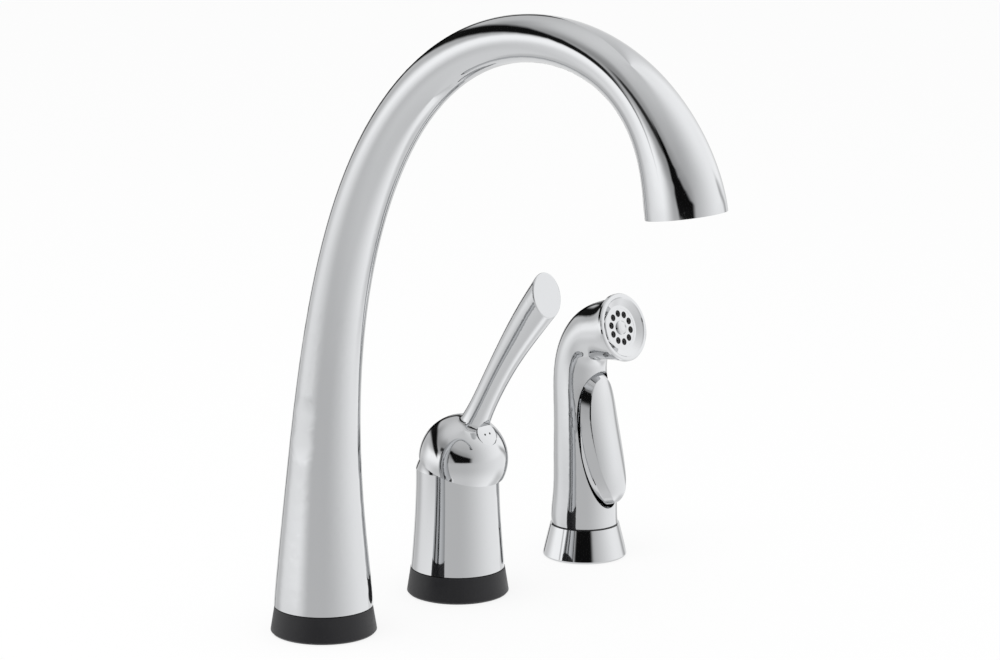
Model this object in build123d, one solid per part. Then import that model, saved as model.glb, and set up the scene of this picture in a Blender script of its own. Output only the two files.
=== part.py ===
from build123d import *
from math import cos, pi, radians, sin, sqrt
import os

# Kitchen tap set for three deck holes: swivel gooseneck spout, single-lever valve and side spray.
# Millimetres, +Z up. The origin is the centre of the spout's foot on the worktop. +X runs along the row
# of holes to the valve and the spray, and -Y faces the user.

os.makedirs("parts", exist_ok=True)

# Layout on the worktop
HOLE_PITCH = 101.6            # deck holes stand four inches apart
VALVE_X = HOLE_PITCH
SPRAY_X = 2 * HOLE_PITCH
DECK = 30.0                   # thickness of the worktop that the nuts clamp
FIT = 0.05                    # radial clearance of a running fit
GAP = 0.3                     # clearance between pieces that pass each other

# Feet
RING_HEIGHT = 14.4
RING_FOOT_GAP = 0.4           # the gasket stands this far proud of the ring's underside
SHANK_R = 15.5
SHANK_BOTTOM = -68.0
NIPPLE_LENGTH = 16.0

# Spout: mid-line as (forward, up) control points of one Bezier curve, radius along its length
SPOUT_LINE = [(0, 15), (0, 92), (2, 154), (5, 370), (127, 349), (234, 369), (252.6, 261)]
SPOUT_RADII = [26.3, 22.2, 18.7, 16.4, 15.0, 14.2, 13.4, 12.6, 12.05, 11.95, 12.9, 16.1, 20.2]
SPOUT_BORE_R = 9.8
WATERWAY_R = 5.0
# Fractions of the mid-line where the arcs of the bore and of the water tube meet
ARC_ENDS = [0.134, 0.34, 0.46, 0.58, 0.70, 0.82, 0.93, 0.965]

# Valve: the lever's pivot is the centre of the bonnet dome
PIVOT_Z = 62.8
DOME_R = 23.6
DOME_OPENING_R = 13.5
HOOD_R = 24.2
HOOD_RISE = 13.5              # from the pivot to the centre of the hood's ball, along the lever's axis
HOOD_RIM = 10.0               # from the pivot to the plane of the hood's rim
LEVER_LEAN = 19.0             # forward lean of the hood's axis when the water is off

# Side spray
HOLDER_HEIGHT = 18.4
WAND_FOOT = 19.1
HEAD_LEAN = 17.0              # the spray face looks this far above level
HEAD_FORWARD = 27.4
HEAD_Z = 134.4
WAND_TURN = 3.5               # the wand rests turned this far in its holder, towards +X
TRIGGER_TOP = 106.2
TRIGGER_BOTTOM = 31.6
TRIGGER_PIVOT = (-7.0, 98.0)  # (y, z) of the trigger's pin
PLUNGER_Z = 62.0


def turned(*corners, x=0.0, y=0.0):
    """Solid of revolution about an upright axis, from its (radius, height) corners."""
    outline = make_face(Polyline(*[(r, 0, z) for r, z in corners], close=True))
    return Pos(x, y, 0) * revolve(outline, axis=Axis.Z)


def rod(radius, low, high, x=0.0, y=0.0):
    """Upright cylinder between two heights."""
    return Pos(x, y, (low + high) / 2) * Cylinder(radius, high - low)


def tube(outer, inner, low, high, x=0.0, y=0.0):
    return rod(outer, low, high, x, y) - rod(inner, low - 1, high + 1, x, y)


def rod_along(radius, start, end):
    """Cylinder between two points."""
    start = Vector(*start)
    direction = Vector(*end) - start
    plane = Plane(origin=start, z_dir=direction.normalized())
    return plane * Pos(0, 0, direction.length / 2) * Cylinder(radius, direction.length)


def seal_ring(inner, outer, low, high, x=0.0, y=0.0):
    """Rubber ring of chamfered square section."""
    c = 0.3 * min(outer - inner, high - low)
    return turned((inner + c, low), (outer - c, low), (outer, low + c), (outer, high - c),
                  (outer - c, high), (inner + c, high), (inner, high - c), (inner, low + c), x=x, y=y)


def hexagon_ring(across_flats, bore, low, high, x=0.0):
    """Hexagon nut, its lower corners turned off, with a plain bore at the thread's outer size."""
    corner = across_flats / sqrt(3)
    body = Pos(x, 0, low) * extrude(RegularPolygon(corner, 6), high - low)
    body &= turned((0, low), (across_flats / 2, low), (corner + 0.1, low + 2), (corner + 0.1, high), (0, high), x=x)
    return body - rod(bore, low - 1, high + 1, x)


def coil(radius, wire, turns, length):
    """Compression spring along +Z from the origin."""
    path = Helix(pitch=length / turns, height=length, radius=radius)
    section = Plane(origin=path @ 0, z_dir=path % 0) * RegularPolygon(wire, 6)
    return sweep(section, path=path, is_frenet=True)


def base_ring(foot_r, top_r, x):
    """Flared black ring between the worktop and the chrome, with a ledge for the hub's flange."""
    body = turned((17, RING_FOOT_GAP), (foot_r, RING_FOOT_GAP), (top_r, RING_HEIGHT),
                  (20, RING_HEIGHT), (20, 5), (17, 5), x=x)
    foot_edge = body.edges().filter_by(GeomType.CIRCLE).group_by(Axis.Z)[0].sort_by(SortBy.RADIUS)[-1]
    body = chamfer(foot_edge, 1.0)
    groove = tube(26.4, 21.8, RING_FOOT_GAP - 1, 1.6, x)
    return body - groove


def base_gasket(x):
    return seal_ring(22.0, 26.2, 0, 1.6, x)


def deck_washer(x, outer, bore):
    """Steel clamp washer with a turned-down rim, under the worktop."""
    top = -DECK
    return turned((bore, top), (outer, top), (outer, top - 4), (outer - 1.5, top - 4),
                  (outer - 1.5, top - 2), (bore, top - 2), x=x)


def deck_nut(x, bore, flats):
    """Mounting nut with a round flange against the washer."""
    top = -DECK - 2.0
    flange = tube(flats / 2 + 1.5, bore + FIT, top - 3, top, x)
    return flange + hexagon_ring(flats, bore + FIT, top - 14, top - 2.9, x)


# ---------------------------------------------------------------- spout

def spout_path():
    return Bezier(*[(0, -forward, up) for forward, up in SPOUT_LINE])


def gooseneck():
    """Loft through circles square to the spout's mid-line."""
    path = spout_path()
    steps = len(SPOUT_RADII) - 1
    sections = []
    for i, radius in enumerate(SPOUT_RADII):
        t = i / steps
        plane = Plane(origin=path @ t, x_dir=(1, 0, 0), z_dir=path % t)
        sections.append(plane * Circle(radius))
    return loft(sections)


def spout_end(depth=0.0):
    """Frame at the spout's mouth: +Z points out with the water, moved back by depth."""
    path = spout_path()
    plane = Plane(origin=path @ 1, x_dir=(1, 0, 0), z_dir=path % 1)
    return plane.offset(-depth)


def arc_line():
    """Chain of tangent arcs that follows the spout's mid-line closely."""
    path = spout_path()
    tangent = path % ARC_ENDS[0]
    arcs = []
    for start, end in zip(ARC_ENDS, ARC_ENDS[1:]):
        arc = TangentArc(arcs[-1] @ 1 if arcs else path @ start, path @ end, tangent=tangent)
        tangent = arc % 1
        arcs.append(arc)
    return Wire(arcs)


def arc_tube(radius):
    line = arc_line()
    return sweep(Plane(origin=line @ 0, z_dir=line % 0) * Circle(radius), path=line)


def spout_shell():
    """Cast gooseneck: wide bore for the sleeve at its foot, narrow bore for the water tube, open mouth."""
    foot = turned((0, 14), (24.6, 14), (24.3, 20), (17.7, 40), (17.3, 78), (9.7, 84), (9.7, 88), (0, 88))
    mouth = turned((0, -9), (SPOUT_BORE_R - 0.4, -9), (16.6, 0), (18.3, ADAPTER_DEPTH + 0.1), (0, ADAPTER_DEPTH + 0.1))
    return gooseneck() - foot - arc_tube(SPOUT_BORE_R) - at_mouth(mouth, ADAPTER_DEPTH)


POST_R = 14.5
POST_TOP = 72.0
CHAMBER_R = 7.5
CHAMBER = (40.0, 66.0)
NIPPLE_Y = 7.5


def spout_post():
    """Brass hub: shank below the worktop, swivel post above, diverter chamber inside."""
    body = turned((0, SHANK_BOTTOM), (SHANK_R, SHANK_BOTTOM), (SHANK_R, 5), (19.7, 5), (19.7, 9),
                  (POST_R, 9), (POST_R, POST_TOP - 1), (POST_R - 1, POST_TOP), (0, POST_TOP))
    for low in (44.0, 55.0):
        body -= tube(POST_R + 1, 12.6, low, low + 2.6)
    body -= tube(POST_R + 1, 13.2, 63.0, 64.4)
    body -= rod(CHAMBER_R, *CHAMBER)
    body -= rod(6.0, CHAMBER[1] - 1, POST_TOP + 1)
    for side in (-1, 1):
        y = side * NIPPLE_Y
        body += rod(5.5, SHANK_BOTTOM - NIPPLE_LENGTH, SHANK_BOTTOM + 1, y=y)
        body -= rod(3.5, SHANK_BOTTOM - NIPPLE_LENGTH - 1, CHAMBER[0] + 1, y=y)
    return body


def spout_seals():
    return Compound([seal_ring(12.7, POST_R + 0.01, low + 0.2, low + 2.4) for low in (44.0, 55.0)])


def retaining_clip():
    """Open snap ring that holds the spout down on its post."""
    ring = tube(15.4, 13.3, 63.1, 64.3)
    return ring - Pos(0, 15, 63.7) * Box(9, 12, 4)


def glide_ring():
    """Plastic bearing between the hub's flange and the spout's foot."""
    return tube(19.4, POST_R + FIT, 9.0, 15.1)


def diverter_seat():
    """Brass seat pressed into the top of the hub."""
    return tube(6.0, 3.6, CHAMBER[1] - 0.8, POST_TOP)


POPPET_LOW = CHAMBER[0] + 0.3
WING_HEIGHT = 12.0


def diverter_poppet():
    """Four-winged poppet that rises to shut the way to the spout when the spray opens."""
    low = POPPET_LOW
    hub = turned((0, low), (3.2, low), (3.2, low + 15), (5.4, low + 16), (5.4, low + 19), (4.4, low + 20.2),
                 (0, low + 20.2))
    wing = Pos(4.6, 0, low + WING_HEIGHT / 2) * Box(5.6, 1.2, WING_HEIGHT)
    return hub + [Rot(0, 0, angle) * wing for angle in (0, 90, 180, 270)]


def diverter_spring():
    """Light spring between the poppet's wings and the top of the chamber."""
    low = POPPET_LOW + WING_HEIGHT + 0.6
    return Pos(0, 0, low) * coil(6.6, 0.45, 4, CHAMBER[1] - 1.6 - low)


SLEEVE_BOTTOM = 15.2
SLEEVE_TOP = 74.5


def spout_sleeve():
    """Brass bearing sleeve in the spout's foot, which turns on the post and feeds the water tube."""
    top = SLEEVE_TOP
    body = turned((POST_R + FIT, SLEEVE_BOTTOM), (24.2, SLEEVE_BOTTOM), (23.9, SLEEVE_BOTTOM + 4),
                  (17.2, SLEEVE_BOTTOM + 4), (17.2, top + 3), (7.4, top + 3), (7.4, top + 19), (4, top + 19),
                  (4, top), (POST_R + FIT, top))
    body -= tube(15.8, POST_R - 0.5, 62.8, 64.6)
    return body - arc_tube(WATERWAY_R + FIT)


def waterway():
    """Copper tube that carries the water along the gooseneck."""
    return arc_tube(WATERWAY_R) - arc_tube(WATERWAY_R - 1)


def at_mouth(solid, depth):
    """Place a solid made about the origin with its +Z towards the spout's mouth."""
    return spout_end(depth) * solid


ADAPTER_DEPTH = 16.0


def outlet_adapter():
    """Threaded insert that closes the spout's mouth round the aerator."""
    depth = ADAPTER_DEPTH
    body = turned((4, -4), (8, -4), (8, 0), (16.4, 0), (17.9, depth - 2), (12.9, depth - 2), (12.9, 5), (4, 5))
    return at_mouth(body, depth) - arc_tube(WATERWAY_R + FIT)


def aerator_housing():
    """Cup that screws into the adapter, with a slotted grid across its mouth."""
    depth = 10.6
    cup = turned((0, depth - 4), (10.9, depth - 4), (10.9, 0), (12.8, 0), (12.8, depth - 1),
                 (12.0, depth - 0.2), (0, depth - 0.2))
    grid_top = depth - 2.0
    for row in range(-3, 4):
        half = sqrt(9.6**2 - (row * 2.8)**2) - 0.4
        cup -= Pos(0, row * 2.8, grid_top) * Box(2 * half, 1.7, 8)
    return at_mouth(cup, depth)


def aerator_screen():
    """Perforated flow plate inside the cup."""
    plate = Cylinder(10.8, 1.2)
    for ring_r, count in ((0, 1), (3.6, 6), (7.2, 12)):
        for i in range(count):
            angle = 2 * pi * i / count
            plate -= Pos(ring_r * cos(angle), ring_r * sin(angle), 0) * Cylinder(0.8, 2)
    return at_mouth(plate, 8.0)


def aerator_washer():
    return at_mouth(seal_ring(8.6, 12.7, 0, 0.3), 10.95)


# ---------------------------------------------------------------- valve

CORE_R = 18.0
CORE_TOP = 56.0
POCKET_R = 15.2
POCKET_FLOOR = 36.0
PORT_R = 8.0
PORT_ANGLES = (30, 150, 270)  # hot, cold and mixed water
DISC_Z = 44.0
ROTOR_BASE = 52.3


def port_points(radius):
    return [(VALVE_X + radius * cos(radians(a)), radius * sin(radians(a))) for a in PORT_ANGLES]


def valve_core():
    """Brass body with three hose nipples below and the cartridge pocket above."""
    body = turned((0, SHANK_BOTTOM), (SHANK_R, SHANK_BOTTOM), (SHANK_R, 5), (19.7, 5), (19.7, 9),
                  (CORE_R, 9), (CORE_R, CORE_TOP), (0, CORE_TOP), x=VALVE_X)
    body -= rod(POCKET_R, POCKET_FLOOR, CORE_TOP + 1, VALVE_X)
    for x, y in port_points(PORT_R):
        body += rod(5.0, SHANK_BOTTOM - NIPPLE_LENGTH, SHANK_BOTTOM + 1, x, y)
        body -= rod(3.0, SHANK_BOTTOM - NIPPLE_LENGTH - 1, POCKET_FLOOR + 1, x, y)
        body -= rod(4.4, POCKET_FLOOR - 1.6, POCKET_FLOOR + 1, x, y)
    return body


def cartridge_seals():
    return Compound([seal_ring(3.1, 4.3, POCKET_FLOOR - 1.5, POCKET_FLOOR + 0.15, x, y)
                     for x, y in port_points(PORT_R)])


def cartridge_housing():
    """Plastic body of the mixing cartridge, open at the top for the rotor."""
    low = POCKET_FLOOR + 0.2
    body = turned((0, low), (POCKET_R - 0.1, low), (POCKET_R - 0.1, CORE_TOP), (17, CORE_TOP), (17, CORE_TOP + 2.4),
                  (14.2, CORE_TOP + 2.4), (14.2, 68), (12, 68), (12, DISC_Z), (0, DISC_Z), x=VALVE_X)
    for x, y in port_points(PORT_R):
        body -= rod(2.6, low - 1, DISC_Z + 1, x, y)
    return body


def fixed_disc():
    """Ceramic disc with the three ports."""
    disc = rod(11.95, DISC_Z, DISC_Z + 4, VALVE_X)
    for x, y in port_points(7.4):
        disc -= rod(2.4, DISC_Z - 1, DISC_Z + 5, x, y)
    return disc


STEM_ARM = 9.0                # from the pivot down to the stem's driving tip
STEM_SHIFT = STEM_ARM * sin(radians(LEVER_LEAN))


def moving_disc():
    """Ceramic disc that the lever slides over the ports; its top pocket takes the stem's tip."""
    y = STEM_SHIFT
    disc = rod(8.0, DISC_Z + 4.05, ROTOR_BASE - 0.1, VALVE_X, y) + rod(4.0, ROTOR_BASE - 1, 55.0, VALVE_X, y)
    disc -= rod(5.6, DISC_Z + 3, DISC_Z + 5.8, VALVE_X, y)
    return disc - rod(2.4, 51.2, 56, VALVE_X, y)


def cartridge_rotor():
    """Plastic turret that turns with the lever and carries its pivot pin."""
    body = rod(12 - FIT, ROTOR_BASE, 68.4, VALVE_X)
    slot = Pos(VALVE_X, 0, PIVOT_Z) * Box(8.6, 17.4, 40)
    pin_hole = rod_along(1.5, (VALVE_X - 20, 0, PIVOT_Z), (VALVE_X + 20, 0, PIVOT_Z))
    return body - slot - pin_hole


def pivot_pin():
    return rod_along(1.5, (VALVE_X - 11, 0, PIVOT_Z), (VALVE_X + 11, 0, PIVOT_Z))


def bonnet_nut():
    """Ring nut that clamps the cartridge into the body."""
    body = turned((CORE_R + FIT, 47), (20.3, 47), (20.3, CORE_TOP + 3), (18.6, CORE_TOP + 5), (14.4, CORE_TOP + 5),
                  (14.4, CORE_TOP + 2.5), (CORE_R + FIT, CORE_TOP + 2.5), x=VALVE_X)
    for angle in range(0, 360, 60):
        body -= Pos(VALVE_X, 0, 0) * Rot(0, 0, angle) * Pos(20.6, 0, CORE_TOP + 1) * Box(3, 4, 12)
    return body


def dome_edge(radius):
    """Height at which the bonnet's ball has this radius."""
    return PIVOT_Z + sqrt(DOME_R**2 - radius**2)


SHOULDER_R = 22.5
BODY_FOOT_R = 25.35


def valve_body_shell():
    """Chrome cone with slightly hollow flanks, up to the bonnet."""
    top = dome_edge(SHOULDER_R)
    flank = Spline((BODY_FOOT_R, 0, RING_HEIGHT + 0.4), (23.8, 0, 34), (22.9, 0, 50), (SHOULDER_R, 0, top))
    inner = Spline((SHOULDER_R - 1.7, 0, top), (21.1, 0, 50), (21.9, 0, 34),
                   (BODY_FOOT_R - 1.9, 0, RING_HEIGHT + 0.4))
    outline = make_face([flank, Line(flank @ 1, inner @ 0), inner, Line(inner @ 1, flank @ 0)])
    return Pos(VALVE_X, 0, 0) * revolve(outline, axis=Axis.Z)


def bonnet_dome():
    """Chrome cap over the cartridge: the ball that the hood rides on."""
    low = dome_edge(SHOULDER_R)
    centre = Pos(VALVE_X, 0, PIVOT_Z)
    shell = centre * (Sphere(DOME_R) - Sphere(DOME_R - 1.6))
    shell &= rod(30, low, PIVOT_Z + 40, VALVE_X)
    shell -= rod(DOME_OPENING_R, PIVOT_Z, PIVOT_Z + 40, VALVE_X)
    skirt = tube(SHOULDER_R - 1.75, 19.2, low - 8, low + 1.5, VALVE_X)
    return shell + skirt


def lever_axis(distance, forward=0.0, side=0.0):
    """Point in the lever's leaning frame, from the pivot: along the hood's axis and forward of it."""
    lean = radians(LEVER_LEAN)
    y = -distance * sin(lean) - forward * cos(lean)
    z = PIVOT_Z + distance * cos(lean) - forward * sin(lean)
    return (VALVE_X + side, y, z)


def lever_plane(distance):
    return Plane(origin=lever_axis(distance), x_dir=(1, 0, 0),
                 z_dir=(0, -sin(radians(LEVER_LEAN)), cos(radians(LEVER_LEAN))))


# Lever arm: (forward, up, radius) of its sections, from inside the hood to beyond the cut tip
LEVER_SECTIONS = [(9.4, 90.0, 10.4), (13.4, 97.6, 8.0), (19.0, 107.6, 7.0), (28.0, 123.0, 7.0),
                  (39.8, 141.3, 7.9), (54.0, 160.6, 9.4), (75.0, 185.0, 11.8)]
TIP_CENTRE = (66.1, 175.1)
TIP_LEAN = 15.0               # the cut face looks this far above level
BUTTON_RISE = 43.0            # height of the index button's place on the ball, as an angle
BUTTON_TILT = 30.0            # its face looks this far above level
BUTTON_R = 6.4
BUTTON_DEPTH = 1.2
BUTTON_CROWN = 0.4            # how far its domed face stands out of its frame
BUTTON_DOME_R = 40.0
BLEND_R = 4.5                 # hollow blend where the arm leaves the hood


def lever_arm():
    points = [(VALVE_X, -forward, up) for forward, up, _ in LEVER_SECTIONS]
    path = Spline(*points)
    sections = []
    for point, (_, _, radius) in zip(points, LEVER_SECTIONS):
        t = path.param_at_point(point)
        sections.append(Plane(origin=point, x_dir=(1, 0, 0), z_dir=path % t) * Circle(radius))
    arm = loft(sections)
    look = radians(TIP_LEAN)
    cut = Plane(origin=(VALVE_X, -TIP_CENTRE[0], TIP_CENTRE[1]), x_dir=(1, 0, 0),
                z_dir=(0, -cos(look), sin(look)))
    arm -= cut * Pos(0, 0, 30) * Box(80, 80, 60)
    tip_edge = arm.edges().filter_by(lambda e: abs(cut.to_local_coords(e.center()).Z) < 0.01)
    return fillet(tip_edge, 0.7)


def button_frame():
    """Frame on the hood's front where the index button sits: +Z comes straight out of its face."""
    place, tilt = radians(BUTTON_RISE), radians(BUTTON_TILT)
    _, y, z = lever_axis(HOOD_RISE)
    origin = (VALVE_X, y - HOOD_R * cos(place), z + HOOD_R * sin(place))
    return Plane(origin=origin, x_dir=(1, 0, 0), z_dir=(0, -cos(tilt), sin(tilt)))


STEM_R = 4.0
STEM_TOP = 38.0
SCREW_H = 33.0                # height of the set screw along the stem
SCREW_R = 1.6
SCREW_END = 7.2


def lever_casting():
    """Ball and flared arm, with a hollow blend where they meet."""
    joined = Pos(*lever_axis(HOOD_RISE)) * Sphere(HOOD_R) + lever_arm()
    meeting = joined.edges().filter_by(GeomType.BSPLINE).sort_by(Axis.Z)[0]
    return fillet(meeting, BLEND_R)


def lever_handle():
    """Ball hood and flared lever in one casting, hollow over the bonnet."""
    centre = Pos(*lever_axis(HOOD_RISE))
    hood = lever_casting()
    above_rim = lever_plane(HOOD_RIM) * Pos(0, 0, 100) * Box(300, 400, 200)
    hood &= above_rim
    hollow = centre * Sphere(HOOD_R - 2.4) - lever_plane(0) * Pos(0, 0, 30) * Cylinder(9, 60)
    hood -= hollow
    hood -= Pos(VALVE_X, 0, PIVOT_Z) * Sphere(DOME_R + GAP)
    hood -= lever_plane(0) * Pos(0, 0, (STEM_TOP + 0.5) / 2) * Cylinder(STEM_R + FIT, STEM_TOP + 0.5)
    hood -= rod_along(SCREW_R + FIT, lever_axis(SCREW_H), lever_axis(SCREW_H, 14))
    seat = button_frame() * Pos(0, 0, 10 - BUTTON_DEPTH) * Cylinder(BUTTON_R + 0.15, 20)
    return hood - seat


def index_button():
    """Domed cap over the set screw, with two small hot and cold marks."""
    button = Pos(0, 0, 5 - BUTTON_DEPTH) * Cylinder(BUTTON_R, 10)
    button &= Pos(0, 0, BUTTON_CROWN - BUTTON_DOME_R) * Sphere(BUTTON_DOME_R)
    for side in (-1, 1):
        button -= Pos(side * 1.8, 0, BUTTON_CROWN) * Cylinder(0.6, 0.8)
    return button_frame() * button


def valve_stem():
    """Steel stem from the disc's pocket through the pivot pin up into the lever."""
    shaft = rod_along(STEM_R, lever_axis(-6), lever_axis(STEM_TOP))
    neck = rod_along(1.5, lever_axis(-STEM_ARM), lever_axis(-5.5))
    tip = Pos(*lever_axis(-STEM_ARM)) * Sphere(2.0)
    hole = rod_along(1.5 + FIT, (VALVE_X - 20, 0, PIVOT_Z), (VALVE_X + 20, 0, PIVOT_Z))
    return shaft + neck + tip - hole


def set_screw():
    """Socket screw that locks the lever to its stem."""
    start = lever_axis(SCREW_H, STEM_R)
    end = lever_axis(SCREW_H, SCREW_END)
    socket = Plane(origin=end, x_dir=(1, 0, 0), z_dir=Vector(*end) - Vector(*start))
    return rod_along(SCREW_R, start, end) - socket * Pos(0, 0, -1.2) * extrude(RegularPolygon(0.8, 6), 3)


# ---------------------------------------------------------------- side spray

HOLDER_SHANK_R = 13.5
HOLDER_BOTTOM = -58.0
HOLDER_BORE_R = 9.6
TAIL_R = 11.0
SPIGOT_R = 6.0
SPIGOT_BOTTOM = -9.0
SNAP_GROOVE = (-7.4, -6.0)
SEAL_GROOVE = (-3.8, -2.0)


def spray_holder():
    """Flared chrome holder with its threaded shank and the hose's way through."""
    body = turned((HOLDER_SHANK_R, HOLDER_BOTTOM), (HOLDER_SHANK_R, RING_FOOT_GAP), (23.7, RING_FOOT_GAP),
                  (19.25, HOLDER_HEIGHT), (HOLDER_BORE_R, HOLDER_HEIGHT), (HOLDER_BORE_R, HOLDER_BOTTOM), x=SPRAY_X)
    foot_edge = body.edges().filter_by(GeomType.CIRCLE).filter_by(lambda e: e.radius > 23).sort_by(Axis.Z)[0]
    body = fillet(foot_edge, 1.0)
    body -= rod(13.2, 3.0, HOLDER_HEIGHT + 1, SPRAY_X)
    return body - tube(21.6, 17.6, RING_FOOT_GAP - 1, 1.4, SPRAY_X)


def holder_liner():
    """Plastic liner that the wand drops into; its lip shows as the dark line under the wand."""
    return turned((TAIL_R + GAP, 3.1), (13.1, 3.1), (13.1, HOLDER_HEIGHT), (18.2, HOLDER_HEIGHT),
                  (18.2, HOLDER_HEIGHT + 0.4), (TAIL_R + GAP, HOLDER_HEIGHT + 0.4), x=SPRAY_X)


def holder_gasket():
    return seal_ring(17.8, 21.4, 0, 1.4, SPRAY_X)


def hose_coupling():
    """Swivel fitting of the spray hose, on the wand's spigot, with a barb for the hose below."""
    body = turned((SPIGOT_R + FIT, 2.6), (8.8, 2.6), (8.8, -10), (7.0, -12), (5.0, -12), (5.0, -28), (3.2, -28),
                  (3.2, SPIGOT_BOTTOM - 0.5), (SPIGOT_R + FIT, SPIGOT_BOTTOM - 0.5), x=SPRAY_X)
    return body - tube(7.0, SPIGOT_R - 1, *SNAP_GROOVE, SPRAY_X)


def coupling_clip():
    """Snap ring that lets the coupling turn on the spigot."""
    low, high = SNAP_GROOVE
    ring = tube(6.9, 5.1, low + 0.1, high - 0.1, SPRAY_X)
    return ring - Pos(SPRAY_X, 6, low) * Box(4, 6, 6)


def spigot_seal():
    low, high = SEAL_GROOVE
    return seal_ring(4.85, SPIGOT_R + 0.02, low + 0.1, high - 0.1, SPRAY_X)


# Wand: (forward, up, radius) of the circles along its mid-line, from its foot to the head's rim
RIM_DEPTH = 2.4               # the bezel stands this far in front of the wand's own rim
RIM_FORWARD = HEAD_FORWARD - RIM_DEPTH * cos(radians(HEAD_LEAN))
RIM_Z = HEAD_Z - RIM_DEPTH * sin(radians(HEAD_LEAN))
WAND_SECTIONS = [(0, WAND_FOOT, 18.4), (0, 34, 18.0), (0, 52, 17.5), (-0.9, 72, 16.8), (-2.8, 92, 15.6),
                 (-3.4, 108, 14.6), (0.9, 121.4, 14.4), (10.6, 129.3, 15.8), (RIM_FORWARD, RIM_Z, 18.5)]
SOCKET_R = 14.8
SOCKET_DEPTH = 10.6


def in_holder(solid):
    """Turn a piece of the wand about the holder's axis to where the wand rests."""
    return Pos(SPRAY_X, 0, 0) * Rot(0, 0, WAND_TURN) * Pos(-SPRAY_X, 0, 0) * solid


def head_frame(depth=0.0):
    """Frame on the spray face: +Z points the way the water leaves."""
    lean = radians(HEAD_LEAN)
    direction = (0, -cos(lean), sin(lean))
    plane = Plane(origin=(SPRAY_X, -HEAD_FORWARD, HEAD_Z), x_dir=(1, 0, 0), z_dir=direction)
    return plane.offset(-depth)


def wand_skin():
    points = [(SPRAY_X, -forward, up) for forward, up, _ in WAND_SECTIONS]
    lean = radians(HEAD_LEAN)
    path = Spline(*points, tangents=[(0, 0, 1), (0, -cos(lean), sin(lean))])
    sections = []
    for point, (_, _, radius) in zip(points, WAND_SECTIONS):
        t = path.param_at_point(point)
        sections.append(Plane(origin=point, x_dir=(1, 0, 0), z_dir=path % t) * Circle(radius))
    return loft(sections)


# Trigger's oval seen from the front: (sideways, up) control points of its right half, top to bottom
TRIGGER_HALF_WIDTH = 14.4
TRIGGER_OVAL = [(0, TRIGGER_TOP), (9, TRIGGER_TOP), (14.4, 98), (14.4, 70),
                (14.4, 42), (7.5, TRIGGER_BOTTOM), (0, TRIGGER_BOTTOM)]
CROWN_R = 20.0                # the paddle's face is part of a barrel this far from its own axis
PADDLE_WALL = 2.0
PADDLE_FLANK = 3.3            # width of the sloping band round the paddle's face
FLANK_ROUNDING = 1.5
PADDLE_GAP = 0.45
PADDLE_DROP = 1.5             # extra room under the paddle, whose lower end sinks as it is pressed
# Front of the paddle in the side view, (forward, up) from the top to the overhanging lower end
PADDLE_FRONT = [(10.8, 108.5), (12.3, 103), (14.5, 94), (16.5, 84), (19.5, 70), (22.5, 56), (24.5, 45),
                (24.6, 37.5), (22.5, 33), (18.5, 29.5)]
PADDLE_BACK = [(7.2, 92), (9.4, 60), (9.4, 20)]
RECESS_BACK = [(4.0, 92), (1.0, 20)]
PIN_R = 1.2
PIN_HALF = 9.8


def trigger_outline(margin=0.0, drop=0.0):
    """Long oval seen from the front, narrower at the top, grown by a margin all round and down by a drop."""
    middle = (TRIGGER_TOP + TRIGGER_BOTTOM) / 2
    wider = 1 + margin / TRIGGER_HALF_WIDTH
    taller = 1 + margin / (TRIGGER_TOP - middle)
    points = [(x * wider, middle + (z - middle) * taller) for x, z in TRIGGER_OVAL]
    points = points[:4] + [(x, z - drop) for x, z in points[4:]]
    right = [Bezier(*points[:4]), Bezier(*points[3:])]
    return make_face(right + [mirror(curve, about=Plane.YZ) for curve in right])


def trigger_prism(margin=0.0, drop=0.0):
    """The oval extruded forwards from the wand's axis."""
    frame = Plane(origin=(SPRAY_X, 0, 0), x_dir=(1, 0, 0), z_dir=(0, -1, 0))
    return frame * extrude(trigger_outline(margin, drop), 40)


def side_slab(corners):
    """Slab across the wand whose outline is given in the side view, as (forward, up) corners."""
    face = make_face(Polyline(*[(SPRAY_X, -f, z) for f, z in corners], close=True))
    return extrude(face, 40, dir=(1, 0, 0), both=True)


def paddle_barrel(margin=0.0):
    """Barrel whose skin is the paddle's crowned face: the front curve turned about an axis behind it."""
    high = Vector(SPRAY_X, CROWN_R - 13.5, 98)
    low = Vector(SPRAY_X, CROWN_R - 24.4, 46)
    along = (high - low).normalized()
    curve = Spline(*[(SPRAY_X, -f + margin, z) for f, z in PADDLE_FRONT])

    def foot(point):
        return low + along * (point - low).dot(along)

    sides = Polyline(curve @ 1, foot(curve @ 1), foot(curve @ 0), curve @ 0)
    axis = Axis(low, along)
    return revolve(make_face([curve, sides]), axis=axis).rotate(axis, 180)


def trigger_paddle():
    """Long thumb paddle with a crowned face and a hollow back, hung on its pin at the top."""
    body = trigger_prism() & paddle_barrel()
    rim = body.edges().filter_by(lambda e: e.center().Y < -8 and e.length > 35)
    body = chamfer(rim, PADDLE_FLANK)
    flank_edges = body.edges().filter_by(lambda e: e.center().Y < -8 and e.length > 25)
    body = fillet(flank_edges, FLANK_ROUNDING)
    body -= side_slab([(0, 120), (7.2, 120), *PADDLE_BACK, (0, 20)])
    hollow = trigger_prism(-PADDLE_WALL - 1.2) & paddle_barrel(PADDLE_WALL)
    body -= hollow & side_slab([(0, 90), (40, 90), (40, 20), (0, 20)])
    y, z = TRIGGER_PIVOT
    boss = rod_along(2.6, (SPRAY_X - 5, y, z), (SPRAY_X + 5, y, z))
    neck = Pos(SPRAY_X, y - 2.5, z) * Box(10, 5, 4.4)
    post = along_y(3.0, 20.0, PLUNGER_TIP + GAP)
    body += boss + neck + post
    return body - rod_along(PIN_R + FIT, (SPRAY_X - 20, y, z), (SPRAY_X + 20, y, z))


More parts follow.
